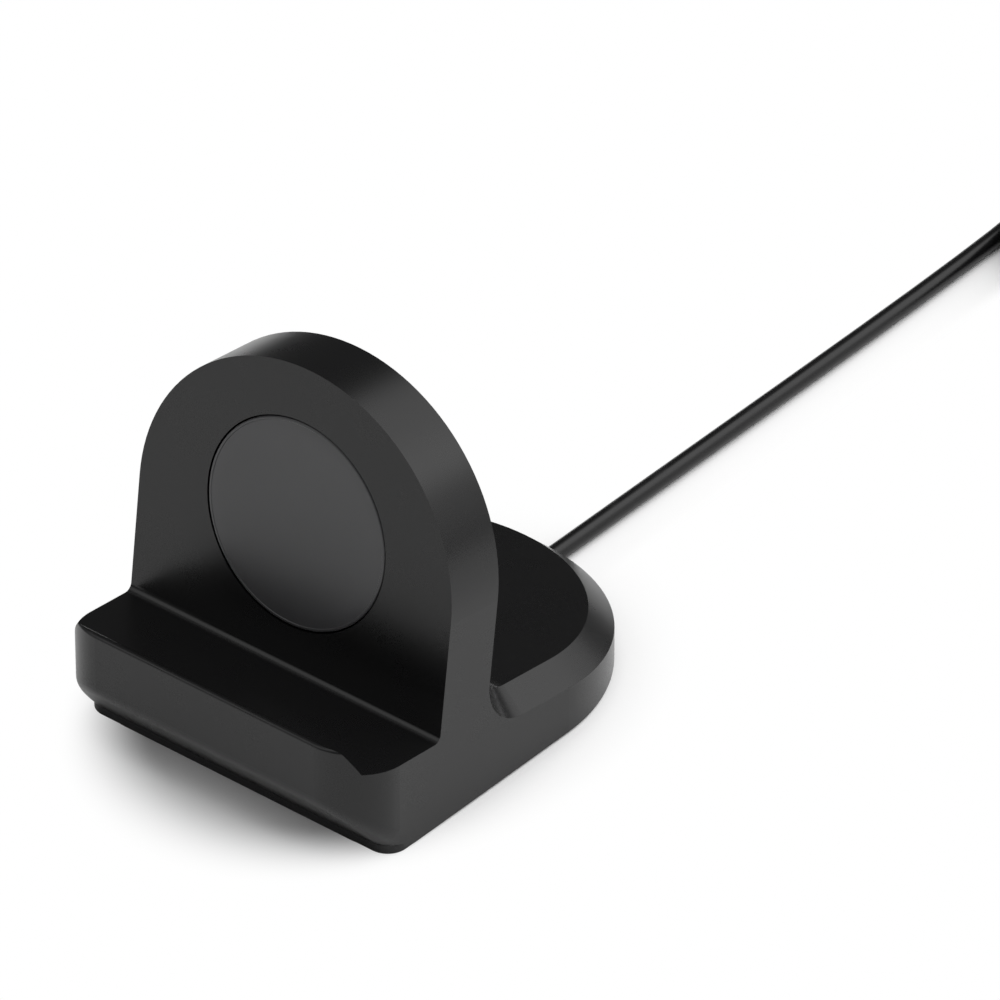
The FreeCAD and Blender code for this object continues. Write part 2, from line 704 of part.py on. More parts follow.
def puck_cup():
    """Cup behind the disc; its inner shoulder carries the board and a slot lets the leads out."""
    body = puck_body("puck_cup")
    section = new_sketch(body, "cup_section", "XZ_Plane")
    draw_outline(section, [
        ("0", "(-puck_depth)"),
        ("puck_radius", "(-puck_depth)"),
        ("puck_radius", "(-disc_thickness)"),
        ("(puck_radius - cup_wall)", "(-disc_thickness)"),
        ("(puck_radius - cup_wall)", f"(-{PUCK_BOARD_BACK})"),
        ("(puck_radius - cup_wall - cup_shoulder)", f"(-{PUCK_BOARD_BACK})"),
        ("(puck_radius - cup_wall - cup_shoulder)", "(cup_floor - puck_depth)"),
        ("0", "(cup_floor - puck_depth)"),
    ])
    revolve(body, section)
    slot = new_sketch(body, "cup_slot", z="-puck_depth")
    draw_box(slot, "(-lead_slot_width / 2)", "(-puck_radius - wall)",
             "(lead_slot_width / 2)", "(cup_wall + cup_shoulder + wall - puck_radius)")
    pocket(body, slot, "puck_depth - lead_slot_depth", reverse=True)
    return body


# Boards

def control_board():
    """Circuit board on the cover's standoffs, with a hole at each screw."""
    body = new_body("control_board")
    plan = new_sketch(body, "board_plan", z=f"{COVER_TOP} + standoff_height")
    near = BOARD_FRONT
    side = "(board_width / 2)"
    draw_outline(plan, [
        (f"({side} - board_corner)", near, "board_corner", 1),
        (side, f"({near} + board_corner)"),
        (side, f"({BOARD_REAR} - board_corner)", "board_corner", 1),
        (f"({side} - board_corner)", BOARD_REAR),
        (f"-({side} - board_corner)", BOARD_REAR, "board_corner", 1),
        (f"-{side}", f"({BOARD_REAR} - board_corner)"),
        (f"-{side}", f"({near} + board_corner)", "board_corner", 1),
        (f"-({side} - board_corner)", near),
    ])
    for x, y in board_screw_places():
        draw_circle(plan, x, y, "(small_screw_diameter / 2 + fit_clearance)")
    pad(body, plan, "board_thickness")
    return body


def chip_on_board(label, x, y, side_x, side_y, height):
    """Box that stands on the control board."""
    box = doc.addObject("Part::Box", label)
    bind(box, Length=side_x, Width=side_y, Height=height, Placement__Base__x=f"{x} - ({side_x}) / 2",
         Placement__Base__y=f"{y} - ({side_y}) / 2", Placement__Base__z=BOARD_TOP)
    return box


def board_components():
    """Controller chip, power inductor and a row of capacitors."""
    middle = f"(({BOARD_FRONT} + {BOARD_REAR}) / 2)"
    chip = chip_on_board("controller_chip", "(-board_width / 6)", middle, "chip_side", "chip_side", "chip_height")
    chip.Label = "controller_chip"
    nodes.append(chip)
    inductor = doc.addObject("Part::Cylinder", "inductor")
    inductor.Label = "inductor"
    bind(inductor, Radius="inductor_radius", Height="inductor_height", Placement__Base__x="board_width / 5",
         Placement__Base__y=f"{middle} - capacitor_width", Placement__Base__z=BOARD_TOP)
    nodes.append(inductor)
    parts = []
    for number in range(4):
        x = f"(-board_width / 6 + ({number} - 1.5) * capacitor_pitch)"
        y = f"({middle} + chip_side / 2 + 2 * capacitor_width)"
        parts.append(chip_on_board(f"capacitor_{number + 1}", x, y, "capacitor_width", "capacitor_length",
                                   "capacitor_height"))
    row = doc.addObject("Part::Compound", "capacitors")
    row.Label = "capacitors"
    row.Links = parts
    nodes.append(row)


# Screws and clamp

def screw(name, x, y, tip, length, diameter, head_diameter, head_height, from_below):
    """One screw: shank, head and a round drive recess, pointing up or down."""
    shank = doc.addObject("Part::Cylinder", name + "_shank")
    bind(shank, Radius=f"({diameter}) / 2", Height=length, Placement__Base__x=x, Placement__Base__y=y)
    head = doc.addObject("Part::Cylinder", name + "_head")
    bind(head, Radius=f"({head_diameter}) / 2", Height=head_height, Placement__Base__x=x, Placement__Base__y=y)
    drive = doc.addObject("Part::Cylinder", name + "_drive")
    bind(drive, Radius=f"drive_radius * ({diameter}) / screw_diameter", Height="drive_depth",
         Placement__Base__x=x, Placement__Base__y=y)
    if from_below:
        bind(shank, Placement__Base__z=f"{tip} - ({length})")
        bind(head, Placement__Base__z=f"{tip} - ({length})")
        bind(drive, Placement__Base__z=f"{tip} - ({length})")
    else:
        bind(shank, Placement__Base__z=tip)
        bind(head, Placement__Base__z=f"{tip} + ({length}) - ({head_height})")
        bind(drive, Placement__Base__z=f"{tip} + ({length}) - drive_depth")
    whole = doc.addObject("Part::Fuse", name + "_whole")
    whole.Base = shank
    whole.Tool = head
    cut = doc.addObject("Part::Cut", name)
    cut.Base = whole
    cut.Tool = drive
    return cut


def screw_group(label, screws):
    """Identical screws in one node."""
    group = doc.addObject("Part::Compound", label)
    group.Label = label
    group.Links = screws
    nodes.append(group)


def all_screws():
    """Screws of the cover, the board and the clamp."""
    cover = []
    for number, (x, y, _) in enumerate(boss_places(), start=1):
        cover.append(screw(f"cover_screw_{number}", x, y, "(pad_thickness + screw_length)", "screw_length",
                           "screw_diameter", "screw_head_diameter", "screw_head_height", True))
    screw_group("base_screws", cover)
    board = []
    for number, (x, y) in enumerate(board_screw_places(), start=1):
        tip = f"({BOARD_TOP} + small_head_height - small_screw_length)"
        board.append(screw(f"board_screw_{number}", x, y, tip, "small_screw_length",
                           "small_screw_diameter", "small_head_diameter", "small_head_height", False))
    screw_group("board_screws", board)
    clamp = []
    for number, (x, y) in enumerate(clamp_screw_places(), start=1):
        tip = f"({CLAMP_SEAT} + clamp_thickness + small_head_height - small_screw_length - clamp_thickness)"
        clamp.append(screw(f"clamp_screw_{number}", x, y, tip, "(small_screw_length + clamp_thickness)",
                           "small_screw_diameter", "small_head_diameter", "small_head_height", False))
    screw_group("clamp_screws", clamp)


def cable_clamp():
    """Bar over the cable with a round groove that grips it and a hole at each screw."""
    body = new_body("cable_clamp")
    plan = new_sketch(body, "clamp_plan", z=CLAMP_SEAT)
    draw_box(plan, "(cable_side - clamp_width / 2)", CLAMP_FRONT,
             "(cable_side + clamp_width / 2)", f"({CLAMP_FRONT} + clamp_length)")
    for x, y in clamp_screw_places():
        draw_circle(plan, x, y, "(small_screw_diameter / 2 + fit_clearance)")
    pad(body, plan, "clamp_thickness")
    groove = new_sketch(body, "clamp_groove", "XZ_Plane", z=f"-{CLAMP_FRONT} + wall")
    draw_circle(groove, "cable_side", "cable_inside_height", "(cable_diameter / 2)")
    pocket(body, groove, "clamp_length + 2 * wall")
    return body


# Cable, leads and plug

def rounded_path(points, factor=0.45, name=""):
    """Straight runs joined by tangent arcs, each as large as its two runs allow."""
    spots = [FreeCAD.Vector(*point) for point in points]
    edges = []
    start = spots[0]
    radii = []
    for before, here, after in zip(spots, spots[1:], spots[2:]):
        back = (before - here).normalize()
        ahead = (after - here).normalize()
        half_turn = (math.pi - back.getAngle(ahead)) / 2
        reach = factor * min((before - here).Length, (after - here).Length)
        radii.append(reach / math.tan(half_turn))
        arc_start = here + back * reach
        arc_end = here + ahead * reach
        inward = (back + ahead).normalize()
        middle = here + inward * (radii[-1] / math.cos(half_turn) - radii[-1])
        edges.append(Part.LineSegment(start, arc_start).toShape())
        edges.append(Part.Arc(arc_start, middle, arc_end).toShape())
        start = arc_end
    edges.append(Part.LineSegment(start, spots[-1]).toShape())
    path = Part.Wire(edges)
    print(name, "length", round(path.Length, 1), "radii", [round(radius, 1) for radius in radii])
    return path


def tube(points, diameter, name):
    """Round tube along a path of runs and arcs, checked against section times length."""
    path = rounded_path(points, name=name)
    along = path.Edges[0].tangentAt(path.Edges[0].FirstParameter)
    ring = Part.Wire(Part.Circle(FreeCAD.Vector(*points[0]), along, diameter / 2).toShape())
    solid = path.makePipeShell([ring], True, True)
    expected = math.pi * diameter ** 2 / 4 * path.Length
    if abs(solid.Volume / expected - 1) > 0.01:
        raise RuntimeError(f"{name}: volume {solid.Volume:.1f}, expected {expected:.1f}")
    return solid


def add_feature(label, shape):
    """Node whose shape is made straight from the sheet's sizes."""
    feature = doc.addObject("Part::Feature", label)
    feature.Label = label
    feature.Shape = shape
    nodes.append(feature)
    return feature


def with_rear(points):
    """Points of the cord's layout, moved with the rear wall."""
    shift = value(REAR) - ROUTE_REAR
    return [(point[0], point[1] + shift, *point[2:]) for point in points]


def coil_ring():
    """Closed outer shape of the coiled cable: a flat-sided ring with rounded edges."""
    bundle = value("ring_bundle")
    radius = value("ring_mean_radius")
    centre = FreeCAD.Vector(*with_rear([RING_CENTRE])[0], 0)
    outer = Part.makeCylinder(radius + bundle / 2, bundle, centre)
    inner = Part.makeCylinder(radius - bundle / 2, bundle, centre)
    ring = outer.cut(inner)
    round_these = [edge for edge in ring.Edges if isinstance(edge.Curve, Part.Circle)]
    return ring.makeFillet(value("ring_round"), round_these)


def cable_pieces():
    """Tube on the table, coil of the rest, tail to the plug and the leads inside the dock."""
    diameter = value("cable_diameter")
    ring = coil_ring()
    add_feature("power_cable", tube(with_rear(CABLE_ROUTE), diameter, "power_cable").cut(ring))
    add_feature("cable_coil", ring)
    add_feature("cable_tail", tube(with_rear(TAIL_ROUTE), diameter, "cable_tail").cut(ring))


def dock_leads():
    """Pairs of thin leads: from the module down to the board, and from the cable's end to the board."""
    lean = math.radians(value("face_lean"))
    lead = value("lead_diameter")
    behind = value(PUCK_BOARD_BACK) + lead / 2 + value("lead_gap")
    board_top = value(BOARD_TOP) + lead / 2 + value("solder_gap")
    board_front = value(BOARD_FRONT)
    board_rear = value(BOARD_REAR)

    def on_upright(up):
        y = value(FACE_FOOT_Y) + up * math.sin(lean) + behind * math.cos(lean)
        z = value("face_foot_height") + up * math.cos(lean) - behind * math.sin(lean)
        return y, z

    cup_inside = value("puck_height") - value("puck_radius") + value("cup_wall") + value("cup_shoulder")
    high = on_upright(cup_inside + value("lead_entry"))
    low = on_upright(-value("lead_drop"))
    landing = board_front + value("lead_reach")
    pair = []
    for side in (-value("lead_spread"), value("lead_spread")):
        route = [(side, *high), (side, *low), (side, landing, board_top),
                 (side, landing + value("lead_lie"), board_top)]
        pair.append(tube(route, lead, "puck_lead"))
    add_feature("puck_leads", Part.makeCompound(pair))
    end_x, end_y, end_z = with_rear(CABLE_ROUTE)[0]
    landing = board_rear - value("supply_reach")
    pair = []
    for side in (-value("supply_spread"), value("supply_spread")):
        x = end_x + side
        route = [(x, end_y, end_z), (x, end_y - value("supply_run"), end_z),
                 (x, landing, board_top), (x, landing - value("supply_lie"), board_top)]
        pair.append(tube(route, lead, "power_lead"))
    add_feature("power_leads", Part.makeCompound(pair))


def plug_placement():
    """Where the plug lies: its own Y points out of the cable's end along the table."""
    x, y, _ = with_rear(TAIL_ROUTE)[-1]
    height = value("plug_body_height") / 2
    turn = FreeCAD.Rotation(FreeCAD.Vector(0, 0, 1), value("plug_turn"))
    return FreeCAD.Placement(FreeCAD.Vector(x, y, height), turn)


def plug_body(label):
    """Body in the plug's own frame, laid at the end of the tail."""
    body = new_body(label)
    body.Placement = plug_placement()
    bind(body, Placement__Base__z="plug_body_height / 2", Placement__Rotation__Angle="plug_turn")
    return body


def rounded_box(x_half, z_half, radius):
    """Outline of a rounded rectangle about the plug's own axis."""
    return [
        (f"({x_half} - {radius})", f"(-{z_half})", radius, 1),
        (x_half, f"({radius} - {z_half})"),
        (x_half, f"({z_half} - {radius})", radius, 1),
        (f"({x_half} - {radius})", z_half),
        (f"({radius} - {x_half})", z_half, radius, 1),
        (f"(-{x_half})", f"({z_half} - {radius})"),
        (f"(-{x_half})", f"({radius} - {z_half})", radius, 1),
        (f"({radius} - {x_half})", f"(-{z_half})"),
    ]


def plug_overmould():
    """Moulded grip of the plug with a round boot on the cable."""
    body = plug_body("plug_overmould")
    grip = new_sketch(body, "grip", "XZ_Plane", z="-plug_boot_length")
    draw_outline(grip, rounded_box("(plug_body_width / 2)", "(plug_body_height / 2)", "plug_body_round"))
    pad(body, grip, "plug_body_length", reverse=True)
    boot = new_sketch(body, "boot", "XZ_Plane")
    draw_circle(boot, "0", "0", "plug_boot_radius")
    pad(body, boot, "plug_boot_length + plug_body_round", reverse=True)
    seat = new_sketch(body, "shell_seat", "XZ_Plane", z="-plug_boot_length - plug_body_length")
    draw_box(seat, "(-plug_shell_width / 2)", "(-plug_shell_height / 2)",
             "(plug_shell_width / 2)", "(plug_shell_height / 2)")
    pocket(body, seat, "plug_shell_seat", reverse=True)
    return body


PLUG_SEAT = "(plug_boot_length + plug_body_length - plug_shell_seat)"


def plug_shell():
    """Folded metal shell of the plug, open at its mouth, with the two latch windows on top."""
    body = plug_body("plug_shell")
    outer = new_sketch(body, "shell_outer", "XZ_Plane", z=f"-{PLUG_SEAT}")
    draw_box(outer, "(-plug_shell_width / 2)", "(-plug_shell_height / 2)",
             "(plug_shell_width / 2)", "(plug_shell_height / 2)")
    draw_box(outer, "(plug_shell_wall - plug_shell_width / 2)", "(plug_shell_wall - plug_shell_height / 2)",
             "(plug_shell_width / 2 - plug_shell_wall)", "(plug_shell_height / 2 - plug_shell_wall)")
    pad(body, outer, "plug_shell_length + plug_shell_seat", reverse=True)
    windows = new_sketch(body, "latch_windows", z="plug_shell_height / 2")
    for side in ("-", ""):
        x = f"({side}contact_pitch)"
        low = f"({PLUG_SEAT} + plug_shell_seat + plug_shell_length / 3)"
        draw_box(windows, f"({x} - contact_width)", low, f"({x} + contact_width)", f"({low} + 2 * contact_width)")
    pocket(body, windows, "plug_shell_wall")
    return body


def plug_inside():
    """Plastic tongue and the four contacts on it."""
    tongue = plug_body("plug_tongue")
    section = new_sketch(tongue, "tongue_section", "XZ_Plane", z=f"-{PLUG_SEAT}")
    low = "(plug_shell_wall - plug_shell_height / 2)"
    draw_box(section, "(-tongue_width / 2)", low, "(tongue_width / 2)", f"({low} + tongue_height)")
    pad(tongue, section, "plug_shell_length + plug_shell_seat - tongue_tip", reverse=True)
    strips = []
    for number in range(4):
        strip = doc.addObject("Part::Box", f"contact_{number + 1}")
        bind(strip, Length="contact_width", Width="contact_length", Height="contact_thickness",
             Placement__Base__x=f"(({number} - 1.5) * contact_pitch) - contact_width / 2",
             Placement__Base__y=f"{PLUG_SEAT} + plug_shell_seat + plug_shell_length - tongue_tip - contact_length",
             Placement__Base__z=f"{low} + tongue_height")
        strips.append(strip)
    group = doc.addObject("Part::Compound", "plug_contacts")
    group.Label = "plug_contacts"
    group.Links = strips
    group.Placement = plug_placement()
    bind(group, Placement__Base__z="plug_body_height / 2", Placement__Rotation__Angle="plug_turn")
    nodes.append(group)


# The whole dock

dock_housing()
base_cover()
anti_slip_pad()
ballast_plate()
charging_disc()
puck_cup()
turned_ring("charging_coil", "coil_inner_radius", "coil_outer_radius", COIL_TOP, COIL_BACK)
turned_ring("ferrite_disc", "0", "ferrite_radius", COIL_BACK, FERRITE_BACK)
turned_ring("alignment_magnet", "0", "magnet_radius", COIL_TOP, COIL_BACK)
turned_ring("puck_board", "0", "(puck_radius - cup_wall - fit_clearance)", FERRITE_BACK, PUCK_BOARD_BACK)
control_board()
board_components()
all_screws()
cable_clamp()
cable_pieces()
dock_leads()
plug_overmould()
plug_shell()
plug_inside()
doc.recompute()

for thing in doc.Objects:
    if {"Invalid", "Error"} & set(thing.State):
        raise RuntimeError(f"{thing.Name} failed: {thing.State}")
for node in nodes:
    if node.Shape.isNull() or not node.Shape.isValid():
        raise RuntimeError(f"{node.Label} has no valid shape")

os.makedirs("parts", exist_ok=True)
for node in nodes:
    node.Shape.exportStep(os.path.join("parts", node.Label + ".step"))
    box = node.Shape.BoundBox
    print(f"{node.Label}: {len(node.Shape.Solids)} solids, volume {node.Shape.Volume:.1f}, "
          f"x {box.XMin:.2f}..{box.XMax:.2f} y {box.YMin:.2f}..{box.YMax:.2f} z {box.ZMin:.2f}..{box.ZMax:.2f}")
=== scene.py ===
"""A smartwatch charging dock on a white table: its studio, finishes, cord and finer forms.

Lengths are in metres, in the frame of the solids: +Z up, +Y to the rear, with the middle of the
dock over the origin.
"""

import logging
import math
from dataclasses import dataclass, field
from enum import Enum
from typing import Any, Mapping, Optional, Sequence, Union

import bpy
import numpy as np
from mathutils import Matrix, Vector


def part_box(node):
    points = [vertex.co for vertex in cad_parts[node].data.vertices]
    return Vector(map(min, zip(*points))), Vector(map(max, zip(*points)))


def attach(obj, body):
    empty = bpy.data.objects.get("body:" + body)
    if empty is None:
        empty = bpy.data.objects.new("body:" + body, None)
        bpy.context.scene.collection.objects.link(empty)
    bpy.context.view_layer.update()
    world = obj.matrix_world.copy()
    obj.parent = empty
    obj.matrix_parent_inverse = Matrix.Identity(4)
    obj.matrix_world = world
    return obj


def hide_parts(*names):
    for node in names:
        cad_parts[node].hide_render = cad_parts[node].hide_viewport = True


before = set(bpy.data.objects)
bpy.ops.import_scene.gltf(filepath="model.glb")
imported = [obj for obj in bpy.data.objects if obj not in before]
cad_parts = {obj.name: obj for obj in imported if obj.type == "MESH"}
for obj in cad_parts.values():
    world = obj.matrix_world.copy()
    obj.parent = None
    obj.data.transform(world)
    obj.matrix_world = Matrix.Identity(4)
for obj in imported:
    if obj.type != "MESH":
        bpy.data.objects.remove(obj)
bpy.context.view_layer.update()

LOG = logging.getLogger("dock")
MM = 0.001
FACE_LEAN = math.radians(7.44)
SHARP_EDGE = math.radians(40.0)
WHITE = (1.0, 1.0, 1.0, 1.0)
LEAD_RED = (0.30, 0.012, 0.01)
LEAD_BLACK = (0.012, 0.012, 0.013)
Colour = tuple[float, float, float]
Point = tuple[float, float, float]
Span = tuple[float, float]


# Shader graphs
class Value:
    """One output socket of a node, so that shader maths reads as Python maths."""

    def __init__(self, graph: "Graph", socket: bpy.types.NodeSocket) -> None:
        """Keeps the graph that the socket is in, and the socket."""
        self.graph = graph
        self.socket = socket

    def _maths(self, operation: str, first: "Number", second: "Number") -> "Value":
        """Adds one Math node.

        Args:
            operation: the Math node's operation.
            first: its first number or socket.
            second: its second number or socket.

        Returns:
            The node's result.
        """
        made = self.graph.node("ShaderNodeMath", {"operation": operation}, {0: first, 1: second})
        return made["Value"]

    def __add__(self, other: "Number") -> "Value":
        """This value plus another."""
        return self._maths("ADD", self, other)

    def __radd__(self, other: "Number") -> "Value":
        """Another value plus this one."""
        return self._maths("ADD", other, self)

    def __sub__(self, other: "Number") -> "Value":
        """This value less another."""
        return self._maths("SUBTRACT", self, other)

    def __rsub__(self, other: "Number") -> "Value":
        """Another value less this one."""
        return self._maths("SUBTRACT", other, self)

    def __mul__(self, other: "Number") -> "Value":
        """This value times another."""
        return self._maths("MULTIPLY", self, other)

    def __gt__(self, other: "Number") -> "Value":
        """1 where this value is above the other, and else 0."""
        return self._maths("GREATER_THAN", self, other)

    def sine(self) -> "Value":
        """The sine of this value, in radians."""
        return self._maths("SINE", self, 0.0)

    def step(self, low: float, high: float) -> "Value":
        """Rises smoothly from 0 at low to 1 at high.

        Args:
            low: the value that gives 0.
            high: the value that gives 1.

        Returns:
            The eased share.
        """
        made = self.graph.node(
            "ShaderNodeMapRange",
            {"interpolation_type": "SMOOTHSTEP"},
            {"Value": self, "From Min": low, "From Max": high},
        )
        return made["Result"]


Number = Union[Value, float]


class Made:
    """A node that is in place, whose outputs are asked for by name."""

    def __init__(self, graph: "Graph", node: bpy.types.Node) -> None:
        """Keeps the graph and the node."""
        self.graph = graph
        self.node = node

    def __getitem__(self, name: str) -> Value:
        """The output of that name."""
        found = [s for s in self.node.outputs if s.name == name and s.enabled]
        return Value(self.graph, found[0])


class Graph:
    """The node tree of one material or of the world."""

    def __init__(self, tree: bpy.types.NodeTree) -> None:
        """Empties the tree and starts from nothing."""
        tree.nodes.clear()
        self.tree = tree

    def node(
        self,
        kind: str,
        settings: Optional[Mapping[str, Any]] = None,
        inputs: Optional[Mapping[Union[str, int], Any]] = None,
    ) -> Made:
        """Adds a node of any type.

        Args:
            kind: the node's type.
            settings: its own settings, which are set before its sockets.
            inputs: a value or a link for each socket, by name or by number.

        Returns:
            The node in place.
        """
        node = self.tree.nodes.new(kind)
        for name, setting in (settings or {}).items():
            setattr(node, name, setting)
        for name, value in (inputs or {}).items():
            if isinstance(name, int):
                socket = node.inputs[name]
            else:
                socket = [s for s in node.inputs if s.name == name and s.enabled][0]
            if isinstance(value, Value):
                self.tree.links.new(value.socket, socket)
            else:
                socket.default_value = value
        return Made(self, node)

    def coordinates(self) -> Value:
        """The place on the piece, in metres."""
        return self.node("ShaderNodeTexCoord")["Object"]

    def noise(self, place: Value, size: float, detail: float = 2.0) -> Value:
        """Soft noise between 0 and 1.

        Args:
            place: the coordinates that it reads.
            size: how far apart its blotches are, in metres.
            detail: how many finer layers it has.

        Returns:
            The noise's strength.
        """
        made = self.node(
            "ShaderNodeTexNoise",
            inputs={"Vector": place, "Scale": 1.0 / size, "Detail": detail},
        )
        return made["Fac"]

    def mixed(self, share: Number, low: Colour, high: Colour) -> Value:
        """A colour between two others.

        Args:
            share: 0 for the first colour and 1 for the second.
            low: the first colour.
            high: the second colour.

        Returns:
            The mixed colour.
        """
        made = self.node(
            "ShaderNodeMix",
            {"data_type": "RGBA"},
            {"Factor": share, "A": (*low, 1.0), "B": (*high, 1.0)},
        )
        return made["Result"]

    def turned(self, place: Value, stretch: Point) -> Value:
        """Coordinates stretched along the three axes.

        Args:
            place: the coordinates.
            stretch: the factor along each axis.

        Returns:
            The stretched coordinates.
        """
        made = self.node(
            "ShaderNodeMapping",
            {"vector_type": "POINT"},
            {"Vector": place, "Scale": stretch},
        )
        return made["Vector"]

    def bump(self, height: Value, depth: float) -> Value:
        """A normal that follows a height between 0 and 1.

        Args:
            height: the height.
            depth: how deep the full height is, in metres.

        Returns:
            The normal.
        """
        made = self.node(
            "ShaderNodeBump",
            inputs={"Height": height, "Distance": depth, "Strength": 1.0},
        )
        return made["Normal"]

    def surface(self, sockets: Mapping[str, Any]) -> None:
        """Adds the Principled shader and joins it to the material's output.

        Args:
            sockets: the shader's values and links.
        """
        shader = self.node("ShaderNodeBsdfPrincipled", inputs=sockets)
        self.node("ShaderNodeOutputMaterial", inputs={"Surface": shader["BSDF"]})


def new_graph(name: str) -> tuple[bpy.types.Material, Graph]:
    """Starts a material.

    Args:
        name: the material's name.

    Returns:
        The material and its empty graph.
    """
    material = bpy.data.materials.new(name)
    material.use_nodes = True
    return material, Graph(material.node_tree)


# Finishes
class Finish:
    """What a surface is made of."""

    def material(self, name: str) -> bpy.types.Material:
        """Makes the material of that name."""
        raise NotImplementedError


@dataclass(frozen=True)
class MouldedPlastic(Finish):
    """Plastic from a spark-eroded mould, with a fine even grain.

    The colour drifts a little over some millimetres, the roughness drifts with it, and the grain is
    noise.
    """

    colour: Colour
    roughness: float
    grain: float = 0.16 * MM
    depth: float = 0.0022 * MM
    drift: float = 9 * MM
    tint: float = 0.12
    specular: float = 0.5

    def material(self, name: str) -> bpy.types.Material:
        """Builds the plastic.

        Args:
            name: the material's name.

        Returns:
            The material.
        """
        material, graph = new_graph(name)
        place = graph.coordinates()
        cloud = graph.noise(place, self.drift, 3.0)
        grain = graph.noise(place, self.grain, 2.0)
        darker = tuple((1.0 - self.tint) * c for c in self.colour)
        lighter = tuple((1.0 + self.tint) * c for c in self.colour)
        graph.surface(
            {
                "Base Color": graph.mixed(cloud, darker, lighter),
                "Roughness": self.roughness + (cloud - 0.5) * 0.05 + (grain - 0.5) * 0.03,
                "Specular IOR Level": self.specular,
                "Normal": graph.bump(grain, self.depth),
            },
        )
        return material


@dataclass(frozen=True)
class Rubber(Finish):
    """Soft matt rubber with a coarse, shallow pebble and a little pale bloom."""

    colour: Colour
    bloom: Colour
    roughness: float = 0.72
    pebble: float = 0.45 * MM
    depth: float = 0.02 * MM
    patch: float = 6 * MM

    def material(self, name: str) -> bpy.types.Material:
        """Builds the rubber.

        Args:
            name: the material's name.

        Returns:
            The material.
        """
        material, graph = new_graph(name)
        place = graph.coordinates()
        pebble = graph.noise(place, self.pebble, 2.0)
        bloom = graph.noise(place, self.patch, 4.0).step(0.5, 0.8)
        graph.surface(
            {
                "Base Color": graph.mixed(bloom, self.colour, self.bloom),
                "Roughness": self.roughness + bloom * 0.12,
                "Normal": graph.bump(pebble, self.depth),
            },
        )
        return material


@dataclass(frozen=True)
class Sheath(Finish):
    """The cable's extruded sheath: satin, with faint ripples and a few scuffs from handling."""

    colour: Colour
    roughness: float
    specular: float = 0.32
    ripple: float = 1.6 * MM
    depth: float = 0.012 * MM
    scuff: float = 5 * MM

    def material(self, name: str) -> bpy.types.Material:
        """Builds the sheath.

        Args:
            name: the material's name.

        Returns:
            The material.
        """
        material, graph = new_graph(name)
        place = graph.coordinates()
        ripple = graph.noise(place, self.ripple, 2.0)
        scuff = graph.noise(place, self.scuff, 5.0).step(0.56, 0.72)
        paler = tuple(1.25 * c + 0.003 for c in self.colour)
        graph.surface(
            {
                "Base Color": graph.mixed(scuff, self.colour, paler),
                "Roughness": self.roughness + scuff * 0.08 + (ripple - 0.5) * 0.04,
                "Specular IOR Level": self.specular,
                "Normal": graph.bump(ripple, self.depth),
            },
        )
        return material


@dataclass(frozen=True)
class PairColours(Finish):
    """Two thin leads side by side, told apart by their place across the dock."""

    first: Colour
    second: Colour
    middle: float
    roughness: float = 0.38
    wax: float = 0.8 * MM
    depth: float = 0.01 * MM

    def material(self, name: str) -> bpy.types.Material:
        """Builds the leads' insulation.

        Args:
            name: the material's name.

        Returns:
            The material.
        """
        material, graph = new_graph(name)
        place = graph.coordinates()
        across = graph.node("ShaderNodeSeparateXYZ", inputs={"Vector": place})["X"]
        wax = graph.noise(place, self.wax, 2.0)
        graph.surface(
            {
                "Base Color": graph.mixed(across > self.middle, self.first, self.second),
                "Roughness": self.roughness + wax * 0.08,
                "Normal": graph.bump(wax, self.depth),
            },
        )
        return material


@dataclass(frozen=True)
class DrawnMetal(Finish):
    """Metal with fine marks along one axis, as rolling, turning or stamping leaves them."""

    colour: Colour
    roughness: float
    along: Point = (0.08, 1.0, 1.0)
    tarnish: float = 0.12
    mark: float = 0.12 * MM
    depth: float = 0.003 * MM
    drift: float = 4 * MM

    def material(self, name: str) -> bpy.types.Material:
        """Builds the metal.

        Args:
            name: the material's name.

        Returns:
            The material.
        """
        material, graph = new_graph(name)
        place = graph.coordinates()
        marks = graph.noise(graph.turned(place, self.along), self.mark, 3.0)
        cloud = graph.noise(place, self.drift, 3.0)
        dull = tuple((1.0 - self.tarnish) * c for c in self.colour)
        graph.surface(
            {
                "Base Color": graph.mixed(cloud, dull, self.colour),
                "Metallic": 1.0,
                "Roughness": self.roughness + (marks - 0.5) * 0.14,
                "Normal": graph.bump(marks, self.depth),
            },
        )
        return material


@dataclass(frozen=True)
class WoundCopper(Finish):
    """Enamelled wire wound flat: rings about the coil's axis, a wire's thickness apart.

    The height is the sine of the distance from the axis, one wave for each wire. The colour darkens
    where the height is low: painted shade in the grooves between the wires.
    """

    centre: Point
    lean: float
    wire: float = 0.42 * MM
    depth: float = 0.12 * MM
    colour: Colour = (0.66, 0.27, 0.12)
    # painted shade: a darker copy of the copper for the grooves between the wires
    painted_groove_shade: Colour = (0.16, 0.05, 0.02)

    def material(self, name: str) -> bpy.types.Material:
        """Builds the winding.

        Args:
            name: the material's name.

        Returns:
            The material.
        """
        material, graph = new_graph(name)
        moved = graph.node(
            "ShaderNodeMapping",
            {"vector_type": "TEXTURE"},
            {
                "Vector": graph.coordinates(),
                "Location": self.centre,
                "Rotation": (self.lean, 0.0, 0.0),
            },
        )["Vector"]
        flat = graph.node(
            "ShaderNodeVectorMath",
            {"operation": "MULTIPLY"},
            {0: moved, 1: (1.0, 0.0, 1.0)},
        )["Vector"]
        radius = graph.node("ShaderNodeVectorMath", {"operation": "LENGTH"}, {0: flat})["Value"]
        crown = (radius * (2.0 * math.pi / self.wire)).sine() * 0.5 + 0.5
        graph.surface(
            {
                # painted shade: the copper darkens towards the grooves between the wires
                "Base Color": graph.mixed(crown, self.painted_groove_shade, self.colour),
                "Metallic": 0.8,
                "Roughness": 0.42 - crown * 0.14,
                "Normal": graph.bump(crown, self.depth),
            },
        )
        return material


